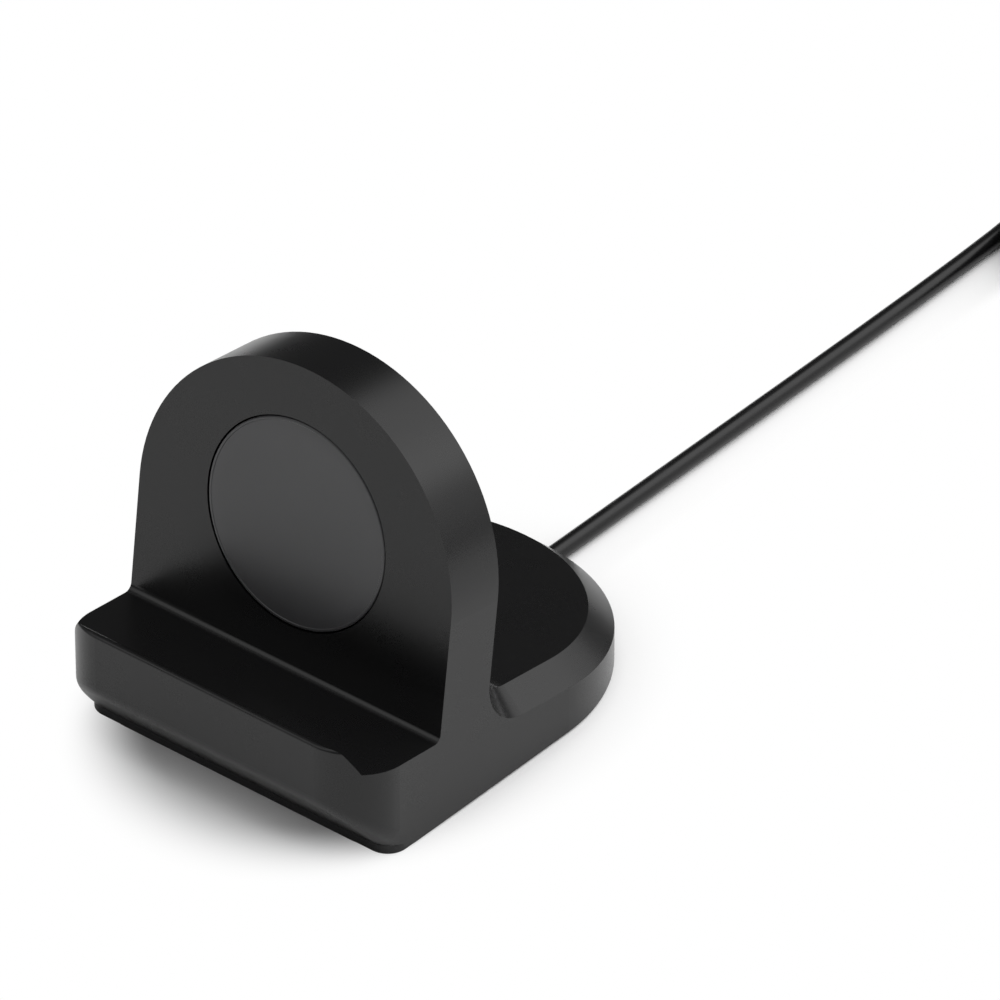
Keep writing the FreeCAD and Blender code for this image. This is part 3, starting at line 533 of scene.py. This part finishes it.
@dataclass(frozen=True)
class Sintered(Finish):
    """Pressed and fired ferrite: dull, dark and slightly speckled."""

    colour: Colour = (0.045, 0.045, 0.05)
    speck: Colour = (0.13, 0.13, 0.14)
    grain: float = 0.22 * MM
    depth: float = 0.02 * MM

    def material(self, name: str) -> bpy.types.Material:
        """Builds the ceramic.

        Args:
            name: the material's name.

        Returns:
            The material.
        """
        material, graph = new_graph(name)
        place = graph.coordinates()
        speck = graph.noise(place, self.grain, 3.0)
        graph.surface(
            {
                "Base Color": graph.mixed(speck.step(0.52, 0.75), self.colour, self.speck),
                "Roughness": 0.62 + speck * 0.12,
                "Normal": graph.bump(speck, self.depth),
            },
        )
        return material


@dataclass(frozen=True)
class SolderMask(Finish):
    """A circuit board: green mask over copper tracks, which are paler bands along both axes."""

    mask: Colour = (0.012, 0.11, 0.045)
    track: Colour = (0.03, 0.2, 0.08)
    pitch: float = 1.1 * MM
    band: float = 0.16 * MM
    weave: float = 0.3 * MM
    depth: float = 0.03 * MM

    def material(self, name: str) -> bpy.types.Material:
        """Builds the board.

        Args:
            name: the material's name.

        Returns:
            The material.
        """
        material, graph = new_graph(name)
        place = graph.coordinates()
        cells = graph.node(
            "ShaderNodeTexBrick",
            {"offset": 0.37, "squash": 1.0},
            {
                "Vector": place,
                "Scale": 1.0,
                "Mortar Size": self.band,
                "Mortar Smooth": 0.2,
                "Brick Width": 3.7 * self.pitch,
                "Row Height": self.pitch,
            },
        )["Fac"]
        weave = graph.noise(place, self.weave, 2.0)
        graph.surface(
            {
                "Base Color": graph.mixed(cells, self.mask, self.track),
                "Roughness": 0.3 + weave * 0.1,
                "Normal": graph.bump(cells + weave * 0.2, self.depth),
            },
        )
        return material


class Slot(Enum):
    """The material slots of the record."""

    HOUSING = "housing_plastic"
    COVER = "cover_plastic"
    PAD = "pad_rubber"
    DISC = "disc_plastic"
    SHEATH = "cable_sheath"
    PLUG = "plug_plastic"
    SHELL = "plug_metal"
    TONGUE = "tongue_plastic"
    GOLD = "contact_gold"
    STEEL = "steel"
    MAGNET = "plated_magnet"
    COPPER = "copper"
    FERRITE = "ferrite"
    BOARD = "circuit_board"
    CHIP = "chip_plastic"


FINISHES: dict[Slot, Finish] = {
    Slot.HOUSING: MouldedPlastic((0.0028, 0.0028, 0.003), 0.28, specular=0.4),
    Slot.COVER: MouldedPlastic((0.014, 0.014, 0.015), 0.5, grain=0.3 * MM, depth=0.01 * MM),
    Slot.PAD: Rubber((0.006, 0.006, 0.0065), (0.012, 0.012, 0.0125)),
    Slot.DISC: MouldedPlastic((0.046, 0.046, 0.048), 0.3, depth=0.001 * MM),
    Slot.SHEATH: Sheath((0.0035, 0.0035, 0.0037), 0.3),
    Slot.PLUG: MouldedPlastic((0.012, 0.012, 0.013), 0.42),
    Slot.SHELL: DrawnMetal((0.72, 0.72, 0.74), 0.28),
    Slot.TONGUE: MouldedPlastic((0.02, 0.02, 0.022), 0.45),
    Slot.GOLD: DrawnMetal((0.83, 0.62, 0.28), 0.2, along=(1.0, 0.08, 1.0)),
    Slot.STEEL: DrawnMetal((0.56, 0.56, 0.58), 0.32),
    Slot.MAGNET: DrawnMetal((0.66, 0.66, 0.68), 0.2, tarnish=0.05),
    Slot.FERRITE: Sintered(),
    Slot.BOARD: SolderMask(),
    Slot.CHIP: MouldedPlastic((0.02, 0.02, 0.02), 0.55, grain=0.1 * MM, depth=0.006 * MM),
}


# The studio
@dataclass
class Studio:
    """A white table under soft light, and the camera of the photograph.

    The light comes from the sky alone, so the table is equally bright everywhere. It has a dim
    ground level and four soft boxes: overhead, at the right, behind at the right and a small one in
    front. The rear left is darker than the rest. The sum makes a white surface just white. Each box
    is a direction, the cosines of its rim and its core, and its strength.
    """

    camera_place: Point = (0.794968, -0.933150, 0.895286)
    camera_right: Point = (0.76981, 0.63827, 0.0)
    camera_up: Point = (-0.36815, 0.44402, 0.81689)
    camera_back: Point = (0.52140, -0.62886, 0.57679)
    lens: float = 414.17
    sensor: float = 36.0
    clip: Span = (0.05, 50.0)
    table_half: float = 0.24
    table_drop: float = 0.02 * MM
    table_white: float = 0.98
    footprint: Span = (26.5 * MM, 34.4 * MM)
    shadow_edge: Span = (0.98, 1.4)
    cable_strip: Span = (2.5 * MM, 5.5 * MM)
    strip_middle: float = 2.5 * MM
    strip_start: float = 0.8
    ambient: float = 0.21
    boxes: tuple[tuple[Point, float, float, float], ...] = (
        ((0.12, 0.18, 0.97), 0.78, 0.93, 1.75),
        ((0.80, 0.35, 0.50), 0.72, 0.92, 1.00),
        ((0.25, 0.75, 0.61), 0.87, 0.95, 1.20),
        ((-0.47, -0.58, 0.66), 0.89, 0.97, 0.95),
        ((-0.55, 0.74, 0.38), 0.60, 0.92, -0.12),
    )

    def place_camera(self) -> None:
        """Makes the camera where the photograph was taken from."""
        data = bpy.data.cameras.new("camera")
        data.sensor_fit = "HORIZONTAL"
        data.sensor_width = self.sensor
        data.lens = self.lens
        data.clip_start, data.clip_end = self.clip
        camera = bpy.data.objects.new("camera", data)
        axes = Matrix((self.camera_right, self.camera_up, self.camera_back)).transposed()
        camera.matrix_world = Matrix.Translation(self.camera_place) @ axes.to_4x4()
        bpy.context.scene.collection.objects.link(camera)
        bpy.context.scene.camera = camera
        LOG.info("camera in place")

    def lay_table(self) -> None:
        """Makes the white table as one flat grid of two by two corners."""
        side = np.array((-self.table_half, self.table_half))
        x, y = np.meshgrid(side, side)
        points = np.stack((x, y, np.full_like(x, -self.table_drop)), axis=-1).reshape(-1, 3)
        mesh = bpy.data.meshes.new("table")
        mesh.from_pydata(points.tolist(), [], [(0, 1, 3, 2)])
        table = bpy.data.objects.new("table", mesh)
        bpy.context.scene.collection.objects.link(table)
        mesh.materials.append(self.table_material())
        LOG.info("table laid")

    def table_material(self) -> bpy.types.Material:
        """Makes the table white, and plain white to the camera away from the dock.

        The distance is that from the dock's middle, with 1 at its sides and at its front and rear.
        Behind the dock, a strip at the cable's right keeps the cable's own shadow.

        Returns:
            The table's material.
        """
        material, graph = new_graph("table_white")
        half_width, half_depth = self.footprint
        scaled = graph.turned(graph.coordinates(), (1.0 / half_width, 1.0 / half_depth, 0.0))
        away = graph.node("ShaderNodeVectorMath", {"operation": "LENGTH"}, {0: scaled})["Value"]
        apart = graph.node("ShaderNodeSeparateXYZ", inputs={"Vector": graph.coordinates()})
        aside = apart["X"] - self.strip_middle
        beside = (aside * aside).step(self.cable_strip[0] ** 2, self.cable_strip[1] ** 2)
        behind = apart["Y"].step(self.strip_start * half_depth, half_depth)
        seen = graph.node("ShaderNodeLightPath")["Is Camera Ray"]
        share = away.step(*self.shadow_edge) * seen * (1.0 - behind * (1.0 - beside))
        board = graph.node(
            "ShaderNodeBsdfPrincipled",
            inputs={
                "Base Color": (self.table_white, self.table_white, self.table_white, 1.0),
                "Roughness": 0.9,
                "Specular IOR Level": 0.0,
            },
        )
        plain = graph.node("ShaderNodeEmission", inputs={"Color": WHITE, "Strength": 1.0})
        mix = graph.node(
            "ShaderNodeMixShader", inputs={"Fac": share, 1: board["BSDF"], 2: plain["Emission"]}
        )
        graph.node("ShaderNodeOutputMaterial", inputs={"Surface": mix["Shader"]})
        return material

    def light(self) -> None:
        """Lights the room: each soft box is a smooth cap about its direction on the sky.

        To the camera alone the room is plain white, as the table is.
        """
        world = bpy.data.worlds.new("studio")
        world.use_nodes = True
        bpy.context.scene.world = world
        graph = Graph(world.node_tree)
        look = graph.node("ShaderNodeTexCoord")["Generated"]
        level: Number = self.ambient
        for direction, rim, core, strength in self.boxes:
            towards = graph.node(
                "ShaderNodeVectorMath",
                {"operation": "DOT_PRODUCT"},
                {0: look, 1: tuple(Vector(direction).normalized())},
            )["Value"]
            level = level + towards.step(rim, core) * strength
        seen = graph.node("ShaderNodeLightPath")["Is Camera Ray"]
        level = level + seen * (1.0 - level)
        sky = graph.node("ShaderNodeBackground", inputs={"Color": WHITE, "Strength": level})
        graph.node("ShaderNodeOutputWorld", inputs={"Surface": sky["Background"]})
        bpy.context.scene.view_settings.view_transform = "Standard"
        LOG.info("studio lit")


# Meshes
def smooth_piece(
    name: str, points: np.ndarray, faces: Sequence[Sequence[int]]
) -> bpy.types.Object:
    """Makes one closed mesh, smooth but for its sharp edges.

    Args:
        name: the object's name.
        points: one row (x, y, z) for each corner.
        faces: the corners of each face, anticlockwise from outside.

    Returns:
        The object, at the origin.
    """
    mesh = bpy.data.meshes.new(name)
    mesh.from_pydata(points.tolist(), [], [list(face) for face in faces])
    mesh.shade_smooth()
    mesh.set_sharp_from_angle(angle=SHARP_EDGE)
    piece = bpy.data.objects.new(name, mesh)
    bpy.context.scene.collection.objects.link(piece)
    return piece


def four_sided(lines: Sequence[np.ndarray], closed: bool) -> list[tuple[int, ...]]:
    """The faces of a bar with four sides, whose edges run along four lines.

    Args:
        lines: the four lines, in turn about the bar, with equally many points.
        closed: whether the bar ends where it starts.

    Returns:
        The faces, with the two ends closed where the bar has ends.
    """
    count = len(lines[0])
    faces: list[tuple[int, ...]] = []
    for here in range(count if closed else count - 1):
        after = (here + 1) % count
        for line in range(4):
            low, high = line * count, ((line + 1) % 4) * count
            faces.append((low + here, low + after, high + after, high + here))
    if not closed:
        faces.append((0, count, 2 * count, 3 * count))
        faces.append(tuple(line * count + count - 1 for line in (3, 2, 1, 0)))
    return faces


# The cord
@dataclass
class CableTie:
    """A flat rubber band with rounded corners round the coil's turns, at the rear of the ring.

    The inner line's sides are given from the middle of the bundle, and its heights from the table.
    """

    centre: Span
    width: float = 5.0 * MM
    thickness: float = 0.42 * MM
    sides: Span = (-4.3 * MM, 4.0 * MM)
    heights: Span = (0.46 * MM, 8.5 * MM)
    corner: float = 1.1 * MM
    steps: int = 8

    def loop(self, grow: float) -> np.ndarray:
        """The band's line across the bundle, a rectangle with quarter circles for corners.

        Args:
            grow: how far outside the inner line it runs.

        Returns:
            One row (y, z) for each point, anticlockwise as seen from the right.
        """
        low_y, high_y = self.sides[0] - grow, self.sides[1] + grow
        low_z, high_z = self.heights[0] - grow, self.heights[1] + grow
        radius = self.corner + grow
        corners = (
            (high_y, low_z, -1, 1),
            (high_y, high_z, -1, -1),
            (low_y, high_z, 1, -1),
            (low_y, low_z, 1, 1),
        )
        runs = []
        for quarter, (y, z, side, rise) in enumerate(corners):
            turn = (quarter - 1) * math.pi / 2 + np.linspace(0.0, math.pi / 2, self.steps)
            along_y = y + side * radius + radius * np.cos(turn)
            along_z = z + rise * radius + radius * np.sin(turn)
            runs.append(np.stack((along_y, along_z), axis=1))
        return np.vstack(runs)

    def build(self, material: bpy.types.Material) -> bpy.types.Object:
        """Puts the band round the bundle.

        Args:
            material: the band's material.

        Returns:
            The band's object.
        """
        outer, inner = self.loop(self.thickness), self.loop(0.0)
        right, left = self.centre[0] + self.width / 2, self.centre[0] - self.width / 2
        places = [(outer, left), (outer, right), (inner, right), (inner, left)]
        lines = [
            np.column_stack((np.full(len(line), x), line[:, 0] + self.centre[1], line[:, 1]))
            for line, x in places
        ]
        tie = smooth_piece("cable_tie", np.vstack(lines), four_sided(lines, closed=True))
        tie.data.materials.append(material)
        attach(tie, "root")
        LOG.info("cable_tie put round the coil")
        return tie


@dataclass
class PowerCord:
    """The thin power cable: straight over the table, then a neat coil, then the plug.

    The coil has three layers of three turns, a diameter apart. Each of its places is the column and
    the layer of one turn.
    """

    diameter: float = 2.6 * MM
    length: float = 1.0
    outlet: Point = (0.0005, 0.03435, 0.0013)
    route: tuple[Point, ...] = (
        (0.0005, 0.0116, 0.0046),
        (0.0005, 0.0186, 0.0046),
        (0.0005, 0.0296, 0.0013),
        (0.00046, 0.0411, 0.0013),
        (0.0001, 0.1380, 0.0013),
    )
    tail: tuple[Point, ...] = (
        (-0.0025, 0.1580, 0.0062),
        (-0.0026, 0.1660, 0.0045),
        (-0.0021, 0.1744, 0.0039),
    )
    ring_centre: Span = (0.0144, 0.1490)
    ring_radius: float = 14.3 * MM
    places: tuple[tuple[int, int], ...] = (
        (1, 0),
        (0, 0),
        (-1, 0),
        (-1, 1),
        (-1, 2),
        (0, 2),
        (0, 1),
        (1, 1),
        (1, 2),
    )
    points_per_turn: int = 16
    settled: float = 0.6
    tie_lift: float = 0.64 * MM
    lift_power: int = 6
    steps_between: int = 6
    section_steps: int = 6

    def turns(self) -> np.ndarray:
        """The coil's control points.

        The angle falls steadily, so the cable runs clockwise from the left of the ring. Each turn
        keeps its place in the bundle for its settled share of the round and eases to the next
        turn's place over the rest. The radius is divided by the cosine of half a step, by which a
        smooth curve of this order falls inside its control points. At the rear of the ring the
        turns rise over the tie by a power of the angle's sine.

        Returns:
            One row (x, y, z) for each control point.
        """
        count = self.points_per_turn * len(self.places)
        step = np.arange(count) / self.points_per_turn
        turn = np.floor(step).astype(int)
        ease = np.clip((step - turn - self.settled) / (1.0 - self.settled), 0.0, 1.0)
        ease = ease * ease * (3.0 - 2.0 * ease)
        place = np.array(self.places + self.places[-1:], float)
        at = place[turn] + (place[turn + 1] - place[turn]) * ease[:, None]
        shrink = math.cos(math.pi / self.points_per_turn)
        radius = (self.ring_radius + at[:, 0] * self.diameter) / shrink
        angle = math.pi - 2.0 * math.pi * step
        rise = self.tie_lift * np.clip(np.sin(angle), 0.0, 1.0) ** self.lift_power
        return np.stack(
            (
                self.ring_centre[0] + radius * np.cos(angle),
                self.ring_centre[1] + radius * np.sin(angle),
                self.diameter * (at[:, 1] + 0.5) + rise,
            ),
            axis=1,
        )

    def build(self) -> bpy.types.Object:
        """Lays the cord and its tie.

        Returns:
            The cord's object.
        """
        tie = CableTie((self.ring_centre[0], self.ring_centre[1] + self.ring_radius)).build(
            FINISHES[Slot.PAD].material("tie_rubber")
        )
        points = np.vstack((self.route, self.turns(), self.tail))
        curve = bpy.data.curves.new("power_cord", "CURVE")
        curve.dimensions = "3D"
        curve.resolution_u = self.steps_between
        curve.bevel_depth = self.diameter / 2
        curve.bevel_resolution = self.section_steps
        curve.use_fill_caps = True
        spline = curve.splines.new("NURBS")
        spline.points.add(len(points) - 1)
        weights = np.ones((len(points), 1))
        spline.points.foreach_set("co", np.hstack((points, weights)).ravel())
        spline.order_u = 3
        spline.use_endpoint_u = True
        cord = bpy.data.objects.new("power_cord", curve)
        bpy.context.scene.collection.objects.link(cord)
        curve.materials.append(FINISHES[Slot.SHEATH].material("cable_sheath_satin"))
        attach(cord, "root")
        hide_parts("power_cable", "cable_coil", "cable_tail")
        [tie] + [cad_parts[n] for n in UsbPlug.nodes()]
        LOG.info("power_cord laid with %d control points", len(points))
        return cord


# Forms that the scene makes itself
@dataclass
class FaceDisc:
    """The dished face of the charging module, turned about the module's own axis.

    The dish is a parabola, less a high power of the radius that sinks its edge into a fine groove.
    The groove parts it from the rim, whose outer edge is a quarter circle.
    """

    centre: Point = (0.0, -15.710 * MM, 34.482 * MM)
    lean: float = FACE_LEAN
    radius: float = 14.9 * MM
    thickness: float = 1.2 * MM
    dish: float = 0.35 * MM
    rim: float = 0.55 * MM
    groove: float = 0.07 * MM
    groove_half: float = 0.06 * MM
    groove_power: int = 24
    edge: float = 0.25 * MM
    bowl_rings: int = 28
    edge_rings: int = 7
    segments: int = 128

    def profile(self) -> np.ndarray:
        """The half section from the front pole to the rear pole.

        Returns:
            One row (radius, height out of the face) for each ring.
        """
        inner = self.radius - self.rim
        across = np.linspace(0.0, 1.0, self.bowl_rings)
        sunk = self.dish * (across**2 - 1.0) - self.groove * across**self.groove_power
        bowl = np.stack((inner * across, sunk), axis=1)
        far_side = ((inner + self.groove_half, -self.groove), (inner + 2 * self.groove_half, 0.0))
        turn = np.linspace(0.0, math.pi / 2, self.edge_rings)
        outward = self.radius - self.edge + self.edge * np.sin(turn)
        quarter = np.stack((outward, self.edge * (np.cos(turn) - 1.0)), axis=1)
        back = ((self.radius, -self.thickness), (0.0, -self.thickness))
        return np.vstack((bowl, far_side, quarter, back))

    def build(self, material: bpy.types.Material) -> bpy.types.Object:
        """Turns the section into a closed disc.

        Args:
            material: the disc's material.

        Returns:
            The disc's object.
        """
        profile = self.profile()
        turn = np.arange(self.segments) * (2.0 * math.pi / self.segments)
        rings = profile[1:-1]
        right = rings[:, 0:1] * np.cos(turn)
        up = rings[:, 0:1] * np.sin(turn)
        out = np.broadcast_to(rings[:, 1:2], right.shape)
        flat = np.stack((right, up, out), axis=-1).reshape(-1, 3)
        poles = np.array(((0.0, 0.0, profile[0, 1]), (0.0, 0.0, profile[-1, 1])))
        own = np.vstack((flat, poles))
        axes = np.array(
            (
                (1.0, 0.0, 0.0),
                (0.0, math.sin(self.lean), math.cos(self.lean)),
                (0.0, -math.cos(self.lean), math.sin(self.lean)),
            )
        )
        points = own @ axes + np.array(self.centre)
        count = self.segments
        front, rear = len(flat), len(flat) + 1
        last = (len(rings) - 1) * count
        faces: list[tuple[int, ...]] = []
        for here in range(count):
            after = (here + 1) % count
            faces.append((front, here, after))
            faces.append((rear, last + after, last + here))
            for ring in range(len(rings) - 1):
                low, high = ring * count, (ring + 1) * count
                faces.append((low + here, high + here, high + after, low + after))
        disc = smooth_piece("face_disc", points, faces)
        disc.data.materials.append(material)
        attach(disc, "root")
        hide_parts("charging_disc")
        LOG.info("face_disc turned with %d rings", len(rings))
        return disc


@dataclass
class FootRim:
    """The upright rim under the undercut: a low wall round the front and its two corners."""

    front: float = -28.2 * MM
    side: float = 26.3 * MM
    corner: float = 3.0 * MM
    rear: float = -22.0 * MM
    wall: float = 1.5 * MM
    low: float = 0.12 * MM
    high: float = 1.34 * MM
    steps: int = 12

    def path(self, inset: float) -> np.ndarray:
        """The wall's line seen from above, from the left round the front to the right.

        Args:
            inset: how far inside the outer face it runs.

        Returns:
            One row (x, y) for each point.
        """
        turn = np.linspace(0.0, math.pi / 2, self.steps)
        radius = self.corner - inset
        x = self.side - self.corner + radius * np.sin(turn)
        y = self.front + self.corner - radius * np.cos(turn)
        right = np.vstack((np.stack((x, y), axis=1), ((self.side - inset, self.rear),)))
        left = right[::-1] * np.array((-1.0, 1.0))
        return np.vstack((left, right))

    def build(self, material: bpy.types.Material) -> bpy.types.Object:
        """Raises the wall between its two heights.

        Args:
            material: the rim's material.

        Returns:
            The rim's object.
        """
        outer, inner = self.path(0.0), self.path(self.wall)
        count = len(outer)
        levels = [(outer, self.low), (outer, self.high), (inner, self.high), (inner, self.low)]
        lines = [np.column_stack((line, np.full(count, height))) for line, height in levels]
        rim = smooth_piece("foot_rim", np.vstack(lines), four_sided(lines, closed=False))
        rim.data.materials.append(material)
        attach(rim, "root")
        LOG.info("foot_rim raised with %d points along it", count)
        return rim


# Sub-assemblies of carried-over solids
@dataclass
class SubAssembly:
    """Solids that belong together, each with the slot whose finish it takes."""

    slots: dict[str, Slot]

    def dress(self, materials: Mapping[Slot, bpy.types.Material]) -> None:
        """Gives each solid its finish.

        Args:
            materials: the finished material of each slot.
        """
        for name, slot in self.slots.items():
            paint(name, materials[slot])


def paint(node: str, material: bpy.types.Material) -> None:
    """Gives a solid one material on its whole surface.

    Args:
        node: the solid's name.
        material: the material.
    """
    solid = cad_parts[node]
    for slot in solid.material_slots:
        slot.material = material
    LOG.info("%s dressed in %s", node, material.name)


@dataclass
class DockBody(SubAssembly):
    """Housing, cover, pad, weight and their screws."""

    slots: dict[str, Slot] = field(
        default_factory=lambda: {
            "dock_housing": Slot.HOUSING,
            "base_cover": Slot.COVER,
            "anti_slip_pad": Slot.PAD,
            "ballast_plate": Slot.STEEL,
            "base_screws": Slot.STEEL,
            "board_screws": Slot.STEEL,
            "clamp_screws": Slot.STEEL,
            "cable_clamp": Slot.COVER,
        }
    )


@dataclass
class ChargingModule(SubAssembly):
    """What works behind the disc in the upright."""

    slots: dict[str, Slot] = field(
        default_factory=lambda: {
            "puck_cup": Slot.COVER,
            "ferrite_disc": Slot.FERRITE,
            "alignment_magnet": Slot.MAGNET,
            "puck_board": Slot.BOARD,
        }
    )

    def dress(self, materials: Mapping[Slot, bpy.types.Material]) -> None:
        """Dresses the module, with the winding's rings about the coil's own axis.

        Args:
            materials: the finished material of each slot.
        """
        super().dress(materials)
        low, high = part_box("charging_coil")
        winding = WoundCopper(tuple((low + high) / 2), -FACE_LEAN)
        paint("charging_coil", winding.material("copper_winding"))
        leads = PairColours(LEAD_RED, LEAD_BLACK, middle=0.0)
        paint("puck_leads", leads.material("puck_lead_insulation"))


@dataclass
class Electronics(SubAssembly):
    """The control board in the foot and what is soldered to it."""

    slots: dict[str, Slot] = field(
        default_factory=lambda: {
            "control_board": Slot.BOARD,
            "controller_chip": Slot.CHIP,
            "inductor": Slot.FERRITE,
            "capacitors": Slot.FERRITE,
        }
    )

    def dress(self, materials: Mapping[Slot, bpy.types.Material]) -> None:
        """Dresses the board, with one lead of the supply red and the other black.

        Args:
            materials: the finished material of each slot.
        """
        super().dress(materials)
        leads = PairColours(LEAD_BLACK, LEAD_RED, middle=0.5 * MM)
        paint("power_leads", leads.material("power_lead_insulation"))


@dataclass
class UsbPlug(SubAssembly):
    """The plug at the cord's far end."""

    slots: dict[str, Slot] = field(
        default_factory=lambda: {
            "plug_overmould": Slot.PLUG,
            "plug_shell": Slot.SHELL,
            "plug_tongue": Slot.TONGUE,
            "plug_contacts": Slot.GOLD,
        }
    )

    @staticmethod
    def nodes() -> list[str]:
        """The plug's solids."""
        return ["plug_overmould", "plug_shell", "plug_tongue", "plug_contacts"]


def main() -> None:
    """Builds the studio, the cord and the finer forms, and then dresses each sub-assembly."""
    logging.basicConfig(level=logging.INFO, format="%(message)s")
    studio = Studio()
    studio.place_camera()
    PowerCord().build()
    studio.lay_table()
    studio.light()
    materials = {slot: finish.material(slot.value + "_finish") for slot, finish in FINISHES.items()}
    FaceDisc().build(materials[Slot.DISC])
    FootRim().build(materials[Slot.HOUSING])
    for part in (DockBody(), ChargingModule(), Electronics(), UsbPlug()):
        part.dress(materials)


if __name__ == "__main__":
    main()
